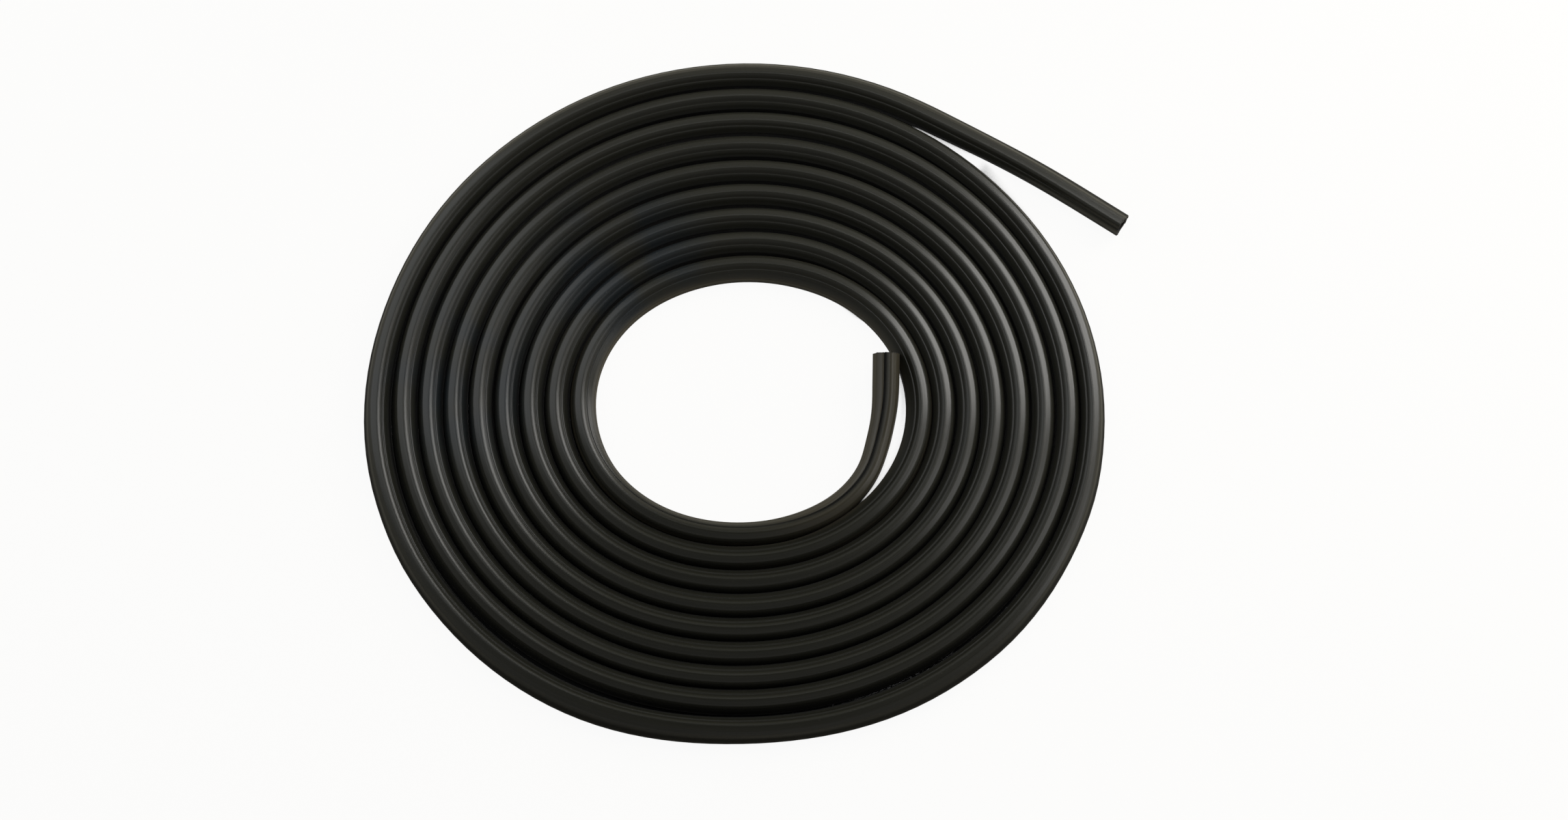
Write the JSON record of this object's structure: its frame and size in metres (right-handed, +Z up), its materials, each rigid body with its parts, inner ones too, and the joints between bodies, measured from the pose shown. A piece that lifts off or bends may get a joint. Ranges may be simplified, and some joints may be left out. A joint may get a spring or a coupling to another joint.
{
  "type": "soaker hose",
  "caption": "Black rubber soaker hose wound into a flat spiral, with bare cut ends: the inner one in the eye, the outer one leaving as a short straight tail.",
  "frame": {"origin": "bottom centre of the whole hose as it lies, on the surface that it rests on", "axes": "+Z up out of the flat spiral; +X along the longest reach, towards the side where the outer tail ends; +Y away from the side on which the innermost turn begins its lead"},
  "size_m": [0.5378, 0.4984, 0.0244],
  "materials": {
    "hose_rubber": "satin black, fine extrusion lines along its length"
  },
  "bodies": {
    "root": {"coil": "hose_rubber", "inner_stretch": "hose_rubber", "inner_end": "hose_rubber", "outer_stretch": "hose_rubber", "outer_end": "hose_rubber"}
  },
  "joints": []
}
